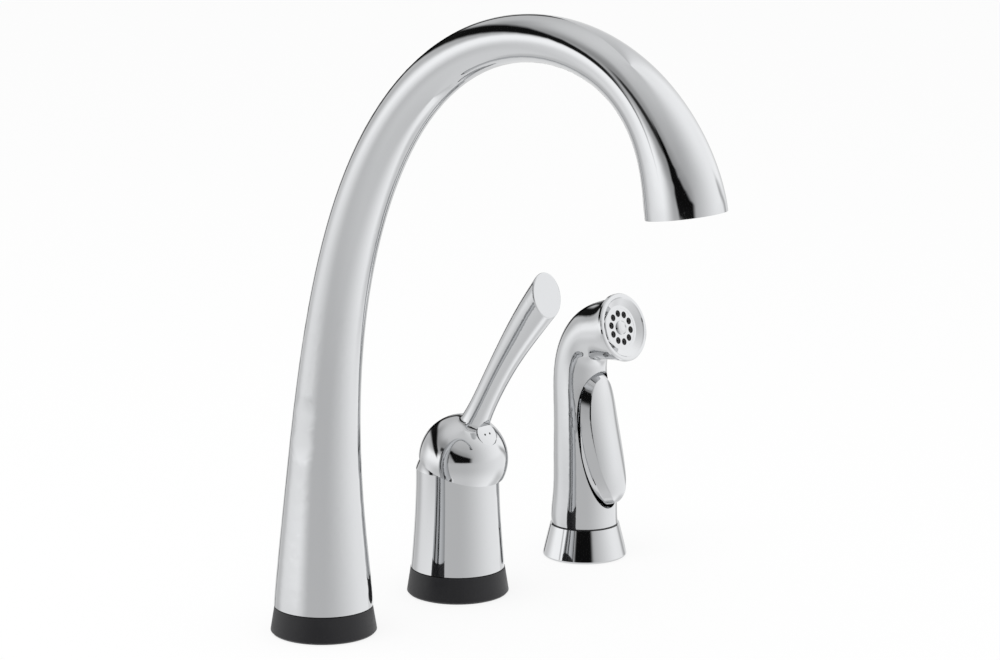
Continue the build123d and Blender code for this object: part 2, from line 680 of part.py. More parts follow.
def trigger_pin():
    y, z = TRIGGER_PIVOT
    return rod_along(PIN_R, (SPRAY_X - PIN_HALF, y, z), (SPRAY_X + PIN_HALF, y, z))


# Spray valve, all distances forward of the wand's axis
PLUNGER_TIP = 11.5
PLUNGER_R = 2.0
BORE_R = 5.0
BORE_BACK = -12.5
GLAND = (2.5, -0.5)
SEAT = (-5.2, -6.6)
FEED_Y = 9.6                  # the feed rises behind the valve, the outlet in front of it
OUTLET_Y = 3.6


def along_y(radius, front, back, z=PLUNGER_Z):
    """Level cylinder in the wand between two forward distances."""
    return rod_along(radius, (SPRAY_X, -front, z), (SPRAY_X, -back, z))


def trigger_pocket():
    """Room in the wand for the paddle through its travel and for its pivot boss."""
    above = TRIGGER_TOP + 8
    room = [(RECESS_BACK[0][0], above), *RECESS_BACK, (40, RECESS_BACK[1][1]), (40, above)]
    return trigger_prism(PADDLE_GAP, PADDLE_DROP) & side_slab(room)


def wand_body():
    """Chrome wand with the tail that stands in the holder, the trigger's pocket and the water's ways."""
    body = wand_skin()
    body += rod(TAIL_R, 3.4, WAND_FOOT + 1, SPRAY_X)
    body += rod(SPIGOT_R, SPIGOT_BOTTOM, 4, SPRAY_X)
    for groove in (SNAP_GROOVE, SEAL_GROOVE):
        body -= tube(SPIGOT_R + 1, SPIGOT_R - 1.2, *groove, SPRAY_X)
    body -= trigger_pocket()
    y, z = TRIGGER_PIVOT
    body -= rod_along(3.4, (SPRAY_X - 5.5, y + 1, z), (SPRAY_X + 5.5, y + 1, z))
    body -= rod_along(PIN_R, (SPRAY_X - PIN_HALF, y, z), (SPRAY_X + PIN_HALF, y, z))
    body -= along_y(BORE_R, 6.0, BORE_BACK)
    body -= rod(2.6, SPIGOT_BOTTOM - 1, 26, SPRAY_X)
    body -= rod_along(2.4, (SPRAY_X, 0, 24), (SPRAY_X, FEED_Y, 24))
    body -= rod(2.4, 24, PLUNGER_Z, SPRAY_X, FEED_Y)
    body -= rod(1.4, PLUNGER_Z, 124, SPRAY_X, OUTLET_Y)
    body -= head_frame(SOCKET_DEPTH) * Pos(0, 0, 10) * Cylinder(SOCKET_R, 20)
    return body - head_frame(SOCKET_DEPTH) * Pos(0, 0, -8) * Cylinder(5.0, 20)


def at_face(solid):
    """Place a solid made about the origin, +Z outwards, on the spray face."""
    return head_frame() * solid


PLATE_R = 11.7
PLATE_FRONT = -2.4
SKIRT_BACK = -8.6
JET_RING_R = 7.9
JET_COUNT = 10


def jet_places():
    angles = [2 * pi * (i + 0.5) / JET_COUNT for i in range(JET_COUNT)]
    return [Pos(JET_RING_R * cos(a), JET_RING_R * sin(a), 0) for a in angles]


def wand_bezel():
    """Bright ring round the spray face, with a shallow cone down to the plate."""
    skirt = SOCKET_R - FIT
    lip = PLATE_FRONT + FIT
    ring = turned((skirt, SKIRT_BACK), (skirt, -RIM_DEPTH + FIT), (18.9, -RIM_DEPTH + FIT), (18.9, -0.9),
                  (18.5, -0.25), (17.9, 0), (16.6, 0), (16.0, -0.5), (12.4, lip), (PLATE_R - 0.8, lip),
                  (PLATE_R - 0.8, PLATE_FRONT), (PLATE_R + FIT, PLATE_FRONT), (PLATE_R + FIT, SKIRT_BACK))
    return at_face(ring)


def spray_plate():
    """Face plate with a ring of ten round holes and a hole for the centre cap."""
    plate = Pos(0, 0, PLATE_FRONT - 1.1) * Cylinder(PLATE_R, 2.2)
    for place in jet_places():
        plate -= place * Pos(0, 0, PLATE_FRONT) * Cylinder(1.9, 8)
    return at_face(plate - Pos(0, 0, PLATE_FRONT) * Cylinder(2.45, 8))


def nozzle_insert():
    """Dark rubber pad whose ten nozzles fill the plate's holes."""
    top = PLATE_FRONT - 2.2
    pad = Pos(0, 0, top - 1.0) * Cylinder(PLATE_R - 0.2, 2.0)
    for place in jet_places():
        pad += place * Pos(0, 0, top + 0.5) * Cylinder(1.85, 2.2)
        pad -= place * Pos(0, 0, top) * Cylinder(0.6, 8)
    return at_face(pad - Pos(0, 0, top) * Cylinder(2.45, 8))


def centre_cap():
    """Domed cap screw that holds the plate."""
    cap = turned((0, -9.2), (2.4, -9.2), (2.4, PLATE_FRONT + 0.02), (3.8, PLATE_FRONT + 0.02), (3.8, PLATE_FRONT + 0.7),
                 (3.2, PLATE_FRONT + 1.15), (1.8, PLATE_FRONT + 1.45), (0, PLATE_FRONT + 1.55))
    return at_face(cap)


def head_seal():
    return at_face(seal_ring(11.0, SOCKET_R - FIT, -SOCKET_DEPTH + FIT, SKIRT_BACK - FIT))


def valve_gland():
    """Bush that closes the spray valve's bore and guides its plunger."""
    return along_y(BORE_R, *GLAND) - along_y(PLUNGER_R + FIT, 20, -20)


def facing_back(forward):
    """Frame across the wand's valve: +Z points to the back."""
    return Plane(origin=(SPRAY_X, -forward, PLUNGER_Z), x_dir=(1, 0, 0), z_dir=(0, 1, 0))


def plunger_seal():
    return facing_back(GLAND[1]) * seal_ring(PLUNGER_R + 0.02, BORE_R - FIT, 0, 1.4)


def valve_seat():
    """Brass seat that the plunger's head closes on."""
    return along_y(BORE_R, *SEAT) - along_y(3.0, 20, -20)


WASHER = (SEAT[1] - 0.05, SEAT[1] - 0.9)


def valve_plunger():
    """Plunger with a collar for its spring in front and the sealing head behind."""
    stem = along_y(PLUNGER_R, PLUNGER_TIP, WASHER[1])
    collar = along_y(3.6, PLUNGER_TIP - 1.0, PLUNGER_TIP - 2.2)
    head = along_y(4.0, WASHER[1], WASHER[1] - 1.4)
    return stem + collar + head


def plunger_washer():
    """Rubber facing on the plunger's head."""
    return along_y(4.0, *WASHER) - along_y(PLUNGER_R, 20, -20)


def trigger_spring():
    """Return spring between the gland and the plunger's collar."""
    back = GLAND[0] + 0.6
    return facing_back(back) * Rot(180, 0, 0) * coil(2.9, 0.35, 4, PLUNGER_TIP - 2.8 - back)


# ---------------------------------------------------------------- files

WAND_NODES = {
    "wand_body": wand_body,
    "wand_bezel": wand_bezel,
    "spray_plate": spray_plate,
    "nozzle_insert": nozzle_insert,
    "centre_cap": centre_cap,
    "head_seal": head_seal,
    "spigot_seal": spigot_seal,
    "coupling_clip": coupling_clip,
    "trigger_pin": trigger_pin,
    "trigger_paddle": trigger_paddle,
    "valve_gland": valve_gland,
    "plunger_seal": plunger_seal,
    "valve_seat": valve_seat,
    "valve_plunger": valve_plunger,
    "plunger_washer": plunger_washer,
    "trigger_spring": trigger_spring,
}

NODES = {
    "spout_base_ring": lambda: base_ring(28.3, 26.0, 0.0),
    "spout_gasket": lambda: base_gasket(0.0),
    "spout_post": spout_post,
    "spout_seals": spout_seals,
    "retaining_clip": retaining_clip,
    "glide_ring": glide_ring,
    "spout_deck_washer": lambda: deck_washer(0.0, 27.0, SHANK_R + 0.4),
    "spout_deck_nut": lambda: deck_nut(0.0, SHANK_R, 42.0),
    "diverter_seat": diverter_seat,
    "diverter_poppet": diverter_poppet,
    "diverter_spring": diverter_spring,
    "spout_shell": spout_shell,
    "spout_sleeve": spout_sleeve,
    "spout_waterway": waterway,
    "outlet_adapter": outlet_adapter,
    "aerator_housing": aerator_housing,
    "aerator_screen": aerator_screen,
    "aerator_washer": aerator_washer,
    "valve_base_ring": lambda: base_ring(27.8, 25.6, VALVE_X),
    "valve_gasket": lambda: base_gasket(VALVE_X),
    "valve_core": valve_core,
    "valve_body_shell": valve_body_shell,
    "bonnet_dome": bonnet_dome,
    "bonnet_nut": bonnet_nut,
    "cartridge_housing": cartridge_housing,
    "cartridge_seals": cartridge_seals,
    "fixed_disc": fixed_disc,
    "moving_disc": moving_disc,
    "cartridge_rotor": cartridge_rotor,
    "pivot_pin": pivot_pin,
    "valve_stem": valve_stem,
    "lever_handle": lever_handle,
    "set_screw": set_screw,
    "index_button": index_button,
    "valve_deck_washer": lambda: deck_washer(VALVE_X, 27.0, SHANK_R + 0.4),
    "valve_deck_nut": lambda: deck_nut(VALVE_X, SHANK_R, 42.0),
    "spray_holder": spray_holder,
    "holder_liner": holder_liner,
    "holder_gasket": holder_gasket,
    "holder_deck_washer": lambda: deck_washer(SPRAY_X, 23.0, HOLDER_SHANK_R + 0.4),
    "holder_deck_nut": lambda: deck_nut(SPRAY_X, HOLDER_SHANK_R, 36.0),
    "hose_coupling": hose_coupling,
}

for name, make in NODES.items():
    export_step(make(), f"parts/{name}.step")
for name, make in WAND_NODES.items():
    export_step(in_holder(make()), f"parts/{name}.step")
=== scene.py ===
# %% [markdown]
# # A chrome tap set on a white table
# Three chrome units stand in a row on a worktop: a tall gooseneck spout, a single-lever valve and a
# side spray that rests in its holder. The shapes that move and fit come from the CAD model. This
# lesson gives them their finishes, adds the fine work that a maker would cut last, such as threads
# and barbs, and lights the row the way a product photographer lights chrome.

# %% Load the model that everything is built around
from math import cos, pi, radians, sin

import bpy
from mathutils import Matrix, Vector


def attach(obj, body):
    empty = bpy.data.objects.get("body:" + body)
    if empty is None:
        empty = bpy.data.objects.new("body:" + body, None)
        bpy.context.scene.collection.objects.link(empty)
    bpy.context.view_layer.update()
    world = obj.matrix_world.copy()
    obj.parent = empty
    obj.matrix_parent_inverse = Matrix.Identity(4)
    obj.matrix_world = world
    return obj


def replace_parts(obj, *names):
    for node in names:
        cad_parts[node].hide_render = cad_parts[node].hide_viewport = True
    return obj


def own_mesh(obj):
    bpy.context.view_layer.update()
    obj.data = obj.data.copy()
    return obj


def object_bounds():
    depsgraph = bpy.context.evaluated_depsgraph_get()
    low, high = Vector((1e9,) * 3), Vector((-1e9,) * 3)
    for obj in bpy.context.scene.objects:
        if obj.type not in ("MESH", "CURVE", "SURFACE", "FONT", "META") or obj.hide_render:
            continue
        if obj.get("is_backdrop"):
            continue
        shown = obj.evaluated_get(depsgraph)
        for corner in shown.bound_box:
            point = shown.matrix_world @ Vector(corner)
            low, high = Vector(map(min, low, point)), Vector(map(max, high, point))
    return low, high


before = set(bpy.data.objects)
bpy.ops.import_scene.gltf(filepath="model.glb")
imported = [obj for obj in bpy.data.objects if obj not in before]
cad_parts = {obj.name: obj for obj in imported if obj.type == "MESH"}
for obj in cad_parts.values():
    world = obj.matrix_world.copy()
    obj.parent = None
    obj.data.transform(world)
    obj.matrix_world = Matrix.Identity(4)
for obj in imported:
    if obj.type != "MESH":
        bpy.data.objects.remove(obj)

cad_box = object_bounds()
print(len(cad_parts), "nodes, box from", [round(v, 4) for v in cad_box[0]],
      "to", [round(v, 4) for v in cad_box[1]])

# %% [markdown]
# Blender works in metres and a tap is drawn in millimetres, so sizes are written as so many MM.
# The three units stand at equal steps along X, at the usual pitch of the holes in a sink.

# %% Units of length and the row
MM = 0.001
ROW_STEP = 101.6 * MM
SPOUT_X, VALVE_X, SPRAY_X = 0.0, ROW_STEP, 2 * ROW_STEP
print("the row is", round(SPRAY_X, 4), "m from first foot to last")

# %% [markdown]
# The camera comes first, because every later choice is judged through it. A long lens from well
# back keeps uprights upright and draws the three units at nearly the same scale. It could be aimed
# with a Track To constraint, but a matrix of three directions says exactly how it stands.

# %% Stand the camera
CAMERA_PLACE = Vector((-1.6683, -1.7230, 0.7296))
CAMERA_RIGHT = Vector((0.6909, -0.7230, 0.0))
CAMERA_UP = Vector((0.1663, 0.1589, 0.9733))
CAMERA_LENS = 170.25

bpy.ops.object.camera_add(location=CAMERA_PLACE)
camera = bpy.context.object
camera.name = "product_camera"
camera.data.sensor_width = 36.0
camera.data.lens = CAMERA_LENS
camera_back = CAMERA_RIGHT.cross(CAMERA_UP).normalized()
stance = Matrix((CAMERA_RIGHT, CAMERA_UP, camera_back)).transposed().to_4x4()
camera.matrix_world = Matrix.Translation(CAMERA_PLACE) @ stance
bpy.context.scene.camera = camera
print("camera stands", round(CAMERA_PLACE.length, 3), "m from the spout's foot")

# %% [markdown]
# A shader is a graph of small sums. Building it node by node is long and hides the idea, so one
# class wraps an output socket and lets Python's own signs add the Math nodes: `0.04 + 0.1 * haze`
# makes two nodes. Every other node comes from one method that takes its type, its settings and
# what goes into its sockets.

# %% A class for shader sums
class Wire:
    """An output socket that can stand in a sum."""

    def __init__(self, paint, socket):
        self.paint = paint
        self.socket = socket

    def _sum(self, operation, first, second):
        return self.paint.node("ShaderNodeMath", {"operation": operation}, {0: first, 1: second})

    def __add__(self, other):
        return self._sum("ADD", self, other)

    def __radd__(self, other):
        return self._sum("ADD", other, self)

    def __sub__(self, other):
        return self._sum("SUBTRACT", self, other)

    def __rsub__(self, other):
        return self._sum("SUBTRACT", other, self)

    def __mul__(self, other):
        return self._sum("MULTIPLY", self, other)

    def __rmul__(self, other):
        return self._sum("MULTIPLY", other, self)


class Paint:
    """The node graph of one material or of the world."""

    def __init__(self, owner):
        owner.use_nodes = True
        self.owner = owner
        self.tree = owner.node_tree
        self.tree.nodes.clear()

    def node(self, kind, settings=None, sockets=None, out=0):
        """Add a node: settings first, then a value or a Wire for each socket."""
        made = self.tree.nodes.new(kind)
        for name, value in (settings or {}).items():
            setattr(made, name, value)
        for name, value in (sockets or {}).items():
            if isinstance(value, Wire):
                self.tree.links.new(value.socket, made.inputs[name])
            else:
                made.inputs[name].default_value = value
        return Wire(self, made.outputs[out]) if made.outputs else None


print("shader sums are ready")

# %% [markdown]
# Real finishes vary at several sizes at once. Each helper here is one kind of variation, all read
# from Object coordinates in metres, so the grain has its true size on every piece. `noise` gives
# cloudy variation and `lathe_lines` the fine rings that a lathe leaves round an upright part.
# `rising` and `falling` turn a value into a soft mask, `relief` turns a height into a bump, and
# `blend` mixes two colours.

# %% Helpers for grain, lathe lines, masks, relief and colour
def noise(paint, per_metre, detail=3.0, stretch=(1, 1, 1)):
    """Cloudy variation, with about that many clouds to the metre."""
    where = paint.node("ShaderNodeTexCoord", out="Object")
    placed = paint.node("ShaderNodeMapping", None, {"Vector": where, "Scale": stretch})
    sockets = {"Vector": placed, "Scale": per_metre, "Detail": detail}
    return paint.node("ShaderNodeTexNoise", None, sockets)


def lathe_lines(paint, per_metre):
    """Level rings up the Z axis. A Wave texture of scale 1 has 10 / pi of them to the metre."""
    where = paint.node("ShaderNodeTexCoord", out="Object")
    settings = {"wave_type": "BANDS", "bands_direction": "Z"}
    sockets = {"Vector": where, "Scale": per_metre * pi / 10, "Distortion": 1.2, "Detail": 2.0}
    return paint.node("ShaderNodeTexWave", settings, sockets, out=1)


def rising(value, low, high):
    """0 below low, 1 above high, smooth between."""
    settings = {"interpolation_type": "SMOOTHSTEP"}
    sockets = {"Value": value, "From Min": low, "From Max": high}
    return value.paint.node("ShaderNodeMapRange", settings, sockets)


def falling(value, low, high):
    """1 below low, 0 above high, smooth between."""
    return 1 - rising(value, low, high)


def relief(height, depth):
    """A bump whose full height is depth, in metres."""
    return height.paint.node("ShaderNodeBump", None, {"Distance": depth, "Height": height})


def blend(share, first, second):
    """A colour between two. The colour sockets of a Mix node are its inputs 6 and 7."""
    sockets = {0: share, 6: (*first, 1), 7: (*second, 1)}
    return share.paint.node("ShaderNodeMix", {"data_type": "RGBA"}, sockets, out=2)


def finish(name, make, constants):
    """A Principled material: make gives its varying sockets, constants are set straight on it."""
    paint = Paint(bpy.data.materials.new(name))
    shader = paint.node("ShaderNodeBsdfPrincipled", None, {**constants, **make(paint)})
    paint.node("ShaderNodeOutputMaterial", None, {"Surface": shader})
    return paint.owner


print("helpers are ready")

# %% [markdown]
# Chromium is a darker mirror than silver: it gives back a little over half of the light. So its
# base colour is a cool mid grey, and all the drama comes from what it reflects. Three faint layers
# keep it from looking like a computer's mirror: the casting under the plate is wavy by a few
# thousandths of a millimetre over two or three centimetres, buffing leaves a haze that comes and
# goes, and handling leaves small dull specks.

# %% Polished chrome
def chrome_layers(paint):
    haze = noise(paint, 42.0, 4.0)
    buffing = noise(paint, 260.0, 2.0, (1, 1, 0.15))
    specks = rising(noise(paint, 900.0, 1.0), 0.70, 0.78)
    casting = noise(paint, 32.0, 1.0)
    return {
        "Base Color": blend(haze, (0.538, 0.546, 0.558), (0.556, 0.563, 0.572)),
        "Roughness": 0.025 + 0.035 * haze + 0.012 * buffing + 0.05 * specks,
        "Normal": relief(casting + 0.02 * buffing, 0.006 * MM),
    }


chrome = finish("polished_chrome", chrome_layers, {"Metallic": 1.0})
print("finish", chrome.name)

# %% [markdown]
# The rings under the spout and the valve are charcoal plastic with a satin skin. The mould was
# sparked to a fine grain, so the light breaks up into a soft sheen. Speckle a few tenths of a
# millimetre across gives the grain, and a slow cloud in the roughness gives the touch marks.

# %% Satin charcoal plastic
def charcoal_layers(paint):
    grain = noise(paint, 3200.0, 2.0)
    cloud = noise(paint, 55.0, 3.0)
    return {
        "Base Color": blend(cloud, (0.010, 0.010, 0.012), (0.018, 0.018, 0.020)),
        "Roughness": 0.34 + 0.10 * cloud + 0.06 * grain,
        "Normal": relief(grain, 0.05 * MM),
    }


charcoal = finish("satin_charcoal", charcoal_layers, {"Specular IOR Level": 0.28})
print("finish", charcoal.name)

# %% [markdown]
# Seals, gaskets and the nozzle pad are moulded rubber. Rubber is never quite black: a pale bloom
# rises to its skin in patches, and it shines only at a glancing angle. A sheen would be the other
# way to get that, but a high roughness with patches is closer to a clean new part.

# %% Black rubber
def rubber_layers(paint):
    bloom = rising(noise(paint, 240.0, 4.0), 0.45, 0.75)
    skin = noise(paint, 1800.0, 2.0)
    return {
        "Base Color": blend(bloom, (0.016, 0.016, 0.017), (0.048, 0.047, 0.046)),
        "Roughness": 0.62 + 0.2 * bloom,
        "Normal": relief(skin, 0.04 * MM),
    }


rubber = finish("black_rubber", rubber_layers, {"Specular IOR Level": 0.4})
print("finish", rubber.name)

# %% [markdown]
# The hubs, nuts and fittings are turned from brass and left bare, because nobody sees them under
# the worktop. The lathe leaves lines about half a millimetre apart that catch the light in rings,
# and the air dulls the metal to brown in soft patches.

# %% Turned brass
def brass_layers(paint):
    rings = lathe_lines(paint, 1900.0)
    tarnish = rising(noise(paint, 70.0, 5.0), 0.38, 0.72)
    return {
        "Base Color": blend(tarnish, (0.80, 0.58, 0.27), (0.56, 0.37, 0.16)),
        "Roughness": 0.20 + 0.16 * tarnish + 0.06 * rings,
        "Normal": relief(rings, 0.025 * MM),
    }


brass = finish("turned_brass", brass_layers, {"Metallic": 1.0})
print("finish", brass.name)

# %% [markdown]
# Washers, springs, pins and clips are stainless steel straight from the press or the coiler. Drawn
# steel has streaks along its length and a greyer, softer shine than chrome, so its noise is
# stretched and its roughness is several times higher.

# %% Stainless steel
def steel_layers(paint):
    streaks = noise(paint, 700.0, 3.0, (1, 0.08, 1))
    cloud = noise(paint, 60.0, 3.0)
    return {
        "Base Color": blend(cloud, (0.50, 0.50, 0.49), (0.62, 0.615, 0.60)),
        "Roughness": 0.24 + 0.14 * streaks + 0.05 * cloud,
        "Normal": relief(streaks, 0.02 * MM),
    }


steel = finish("stainless_steel", steel_layers, {"Metallic": 1.0})
print("finish", steel.name)

# %% [markdown]
# The tube inside the gooseneck is drawn copper. New copper is salmon pink and turns brown where
# fingers touched it before it went in, so two colours meet in a ragged edge.

# %% Drawn copper
def copper_layers(paint):
    touched = rising(noise(paint, 90.0, 5.0), 0.42, 0.66)
    drawn = noise(paint, 1200.0, 2.0, (1, 1, 0.05))
    return {
        "Base Color": blend(touched, (0.86, 0.47, 0.32), (0.50, 0.24, 0.14)),
        "Roughness": 0.18 + 0.18 * touched + 0.05 * drawn,
        "Normal": relief(drawn, 0.02 * MM),
    }


copper = finish("drawn_copper", copper_layers, {"Metallic": 1.0})
print("finish", copper.name)

# %% [markdown]
# The cartridge, the poppet and the bearing ring are moulded acetal, a milky plastic with a waxy
# shine. A little light travels inside it. Its roughness wanders where the melt met the mould. The
# aerator's housing and the liner of the spray's holder are dark mouldings, with a finer grain.

# %% White acetal and dark plastic
def acetal_layers(paint):
    flow = noise(paint, 120.0, 4.0, (1, 1, 0.4))
    return {
        "Base Color": blend(flow, (0.80, 0.79, 0.75), (0.88, 0.875, 0.85)),
        "Roughness": 0.34 + 0.14 * flow,
        "Normal": relief(noise(paint, 1500.0, 2.0), 0.02 * MM),
    }


def dark_plastic_layers(paint):
    grain = noise(paint, 2600.0, 2.0)
    return {
        "Base Color": blend(noise(paint, 80.0), (0.018, 0.018, 0.020), (0.034, 0.034, 0.037)),
        "Roughness": 0.36 + 0.12 * grain,
        "Normal": relief(grain, 0.03 * MM),
    }


MILKY = {"Subsurface Weight": 0.15, "Subsurface Scale": 2 * MM}
acetal = finish("white_acetal", acetal_layers, MILKY)
dark_plastic = finish("dark_moulding", dark_plastic_layers, {"Specular IOR Level": 0.5})
print("finishes", acetal.name, dark_plastic.name)

# %% [markdown]
# The two discs that meter the water are lapped alumina, a ceramic that is flat to within a light
# band. It is nearly white, with grey grains too small to count, and its polish is even.

# %% Lapped ceramic
def ceramic_layers(paint):
    grains = noise(paint, 5200.0, 2.0)
    return {
        "Base Color": blend(grains, (0.80, 0.79, 0.76), (0.93, 0.925, 0.90)),
        "Roughness": 0.12 + 0.10 * grains,
        "Normal": relief(grains, 0.008 * MM),
    }


ceramic = finish("lapped_ceramic", ceramic_layers, {"Specular IOR Level": 0.6})
print("finish", ceramic.name)

# %% [markdown]
# Each CAD node came in with the name of its material slot. One table says which finish each slot
# gets, so a node can't be forgotten.

# %% Dress the nodes
FINISHES = {
    "chrome_plate": chrome,
    "black_ring": charcoal,
    "rubber_seal": rubber,
    "cast_brass": brass,
    "spring_steel": steel,
    "copper_tube": copper,
    "cartridge_plastic": acetal,
    "dark_plastic": dark_plastic,
    "ceramic_disc": ceramic,
}
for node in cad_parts.values():
    slot_name = node.data.materials[0].name.split(".")[0]
    node.data.materials[0] = FINISHES[slot_name]
print("dressed", len(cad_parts), "nodes in", len(FINISHES), "finishes")

# %% [markdown]
# A small kit for the pieces that follow. A primitive is added where it belongs, then cut to shape
# in edit mode. Faces are picked by their place, because an operator acts on whatever is selected.
# A finished piece has its place in its mesh, its normals outwards and a finish.

# %% A kit for picking and finishing
def deselect_objects():
    bpy.ops.object.select_all(action="DESELECT")


def named(name):
    """Name the piece that was just made."""
    piece = bpy.context.object
    piece.name = name
    return piece


def start_edit():
    """Edit the piece with the whole of it selected."""
    bpy.ops.object.mode_set(mode="EDIT")
    bpy.ops.mesh.select_all(action="SELECT")


def end_edit():
    bpy.ops.object.mode_set(mode="OBJECT")


def pick_faces(piece, wanted):
    """Edit with only those faces selected whose centre and normal pass wanted(centre, normal)."""
    end_edit()
    bpy.context.tool_settings.mesh_select_mode = (False, False, True)
    for item in (*piece.data.vertices, *piece.data.edges):
        item.select = False
    for face in piece.data.polygons:
        face.select = bool(wanted(face.center, face.normal))
    bpy.ops.object.mode_set(mode="EDIT")


def settle(piece, body, slot_name, angle):
    """Put the piece's place into its mesh, smooth it, and give it its finish and its body."""
    deselect_objects()
    piece.select_set(True)
    bpy.context.view_layer.objects.active = piece
    bpy.ops.object.transform_apply(location=True, rotation=True, scale=True)
    bpy.ops.object.shade_smooth_by_angle(angle=radians(angle))
    piece.data.materials.clear()
    piece.data.materials.append(FINISHES[slot_name])
    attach(piece, body)
    return piece


print("modelling kit is ready")

# %% [markdown]
# Threads and springs are both a small outline wound round an axis, which is what the Screw modifier
# does. It leaves the two ends open, so they are filled and the normals are worked out again. What
# repeats is modelled once as a pattern. Each copy then has a mesh of its own, and the pattern goes.

# %% A kit for winding and copying
def wind(piece, pitch, turns, steps):
    """Wind the piece's outline up its own Z axis."""
    screw = piece.modifiers.new("wind", "SCREW")
    screw.axis = "Z"
    screw.screw_offset = pitch
    screw.iterations = turns
    screw.steps = screw.render_steps = steps
    screw.use_merge_vertices = False
    bpy.ops.object.modifier_apply(modifier=screw.name)


def close_ends():
    """Fill the holes of what is being edited, and turn its faces outwards."""
    bpy.ops.mesh.select_all(action="SELECT")
    bpy.ops.mesh.fill_holes(sides=0)
    bpy.ops.mesh.select_all(action="SELECT")
    bpy.ops.mesh.normals_make_consistent(inside=False)


def copied(pattern, name, place):
    """A copy of the pattern at a place, with its own mesh."""
    deselect_objects()
    pattern.select_set(True)
    bpy.context.view_layer.objects.active = pattern
    bpy.ops.object.duplicate()
    piece = named(name)
    piece.location = place
    return piece


print("winding and copying are ready")

# %% [markdown]
# Each unit is drawn down onto the worktop by a nut on a threaded shank. A thread could be a bump in
# the material, but its edge has to show against the light, so it is cut here as real metal: the
# section of one tooth, wound up the shank, with its two ends closed.

# %% Threads on the three shanks
PITCH = 1.5 * MM
TOOTH_PROUD = 0.45 * MM
TOOTH_SUNK = 0.1 * MM           # how far its root lies in the shank
ROOT_SHARE, CREST_SHARE = 0.76, 0.22     # the root's height in pitches, the crest's in roots
TURN_STEPS = 40
THREAD_TOP = -32.6 * MM         # under the worktop and the washer
JOIN_WITHIN = 0.01 * MM


def thread(name, x, radius, low):
    """Wind one tooth's section up a shank of that radius, from low to the washer."""
    deselect_objects()
    bpy.ops.mesh.primitive_plane_add(size=1.0, location=(x, 0, low))
    piece = named(name)
    start_edit()
    bpy.ops.transform.rotate(value=pi / 2, orient_axis="X", center_override=(x, 0, low))
    section = (TOOTH_PROUD, 1, ROOT_SHARE * PITCH)
    bpy.ops.transform.resize(value=section, center_override=(x, 0, low))
    bpy.ops.transform.translate(value=(radius + TOOTH_PROUD / 2 - TOOTH_SUNK, 0, 0))
    end_edit()
    for corner in piece.data.vertices:
        if corner.co.x > radius:
            corner.co.z *= CREST_SHARE
    wind(piece, PITCH, int((THREAD_TOP - low) / PITCH), TURN_STEPS)
    start_edit()
    bpy.ops.mesh.remove_doubles(threshold=JOIN_WITHIN)
    close_ends()
    end_edit()
    print(name, len(piece.data.polygons), "faces")
    return settle(piece, "deck_assembly", "cast_brass", 25.0)


thread("spout_shank_thread", SPOUT_X, 15.5 * MM, -66.5 * MM)
thread("valve_shank_thread", VALVE_X, 15.5 * MM, -66.5 * MM)
thread("holder_shank_thread", SPRAY_X, 13.5 * MM, -56.5 * MM)

# %% [markdown]
# Hoses push over barbs: rings that slope one way and bite the other. One barb for each size of
# nipple is modelled as a short cone with a softened crest, and then copied up the nipples.

# %% The shape of a barb
BARB_TALL = 3.0 * MM
BARB_BITE = 0.6 * MM            # how far the crest stands out of the nipple
BARB_LEAD = 0.02 * MM           # and the lower edge
CREST_ROUND = 0.25 * MM
AXIS_NEAR = 0.1 * MM


def barb_pattern(radius):
    """A ring that widens upwards round a nipple, with its crest rolled over."""
    deselect_objects()
    bpy.ops.mesh.primitive_cone_add(vertices=48, radius1=radius + BARB_LEAD,
                                    radius2=radius + BARB_BITE, depth=BARB_TALL)
    piece = named("barb_pattern")
    pick_faces(piece, lambda centre, normal: normal.z > 0.9)
    bpy.ops.mesh.bevel(offset=CREST_ROUND, segments=3)
    pick_faces(piece, lambda centre, normal: abs(normal.z) > 0.99 and centre.xy.length < AXIS_NEAR)
    bpy.ops.mesh.inset(thickness=BARB_BITE)
    end_edit()
    return piece


print("a barb is", round(BARB_TALL / MM, 1), "mm tall")

# %% [markdown]
# The spout's hub has two nipples and the valve's three, side by side under the worktop. The sixth
# is on the spray's coupling, so its barbs ride with the end of the hose.

# %% Barbs on the six nipples
WIDE, SLIM = 5.5 * MM, 5.0 * MM           # the two sizes of nipple
SPOUT_PORT = 7.5 * MM
VALVE_PORT_CIRCLE = 8.0 * MM
VALVE_PORT_TURNS = [radians(turn) for turn in (30, 150, 270)]
FIRST_BARB = -82.8 * MM
HOSE_FIRST_BARB = -27.0 * MM
BARB_STEP = 4.4 * MM
BARBS_EACH = 3

nipples = [("spout_barb_a", SPOUT_X, SPOUT_PORT, FIRST_BARB, WIDE, "deck_assembly"),
           ("spout_barb_b", SPOUT_X, -SPOUT_PORT, FIRST_BARB, WIDE, "deck_assembly")]
for letter, turn in zip("abc", VALVE_PORT_TURNS):
    port = VALVE_X + VALVE_PORT_CIRCLE * cos(turn), VALVE_PORT_CIRCLE * sin(turn)
    nipples.append((f"valve_barb_{letter}", *port, FIRST_BARB, SLIM, "deck_assembly"))
nipples.append(("hose_barb_", SPRAY_X, 0.0, HOSE_FIRST_BARB, SLIM, "hose_end"))

patterns = {radius: barb_pattern(radius) for radius in (WIDE, SLIM)}
for label, x, y, low, radius, body in nipples:
    for step in range(BARBS_EACH):
        middle = Vector((x, y, low + step * BARB_STEP + BARB_TALL / 2))
        piece = copied(patterns[radius], f"{label}{step + 1}", middle)
        settle(piece, body, "cast_brass", 30.0)
for pattern in patterns.values():
    bpy.data.objects.remove(pattern)
print(BARBS_EACH, "barbs on each of", len(nipples), "nipples")

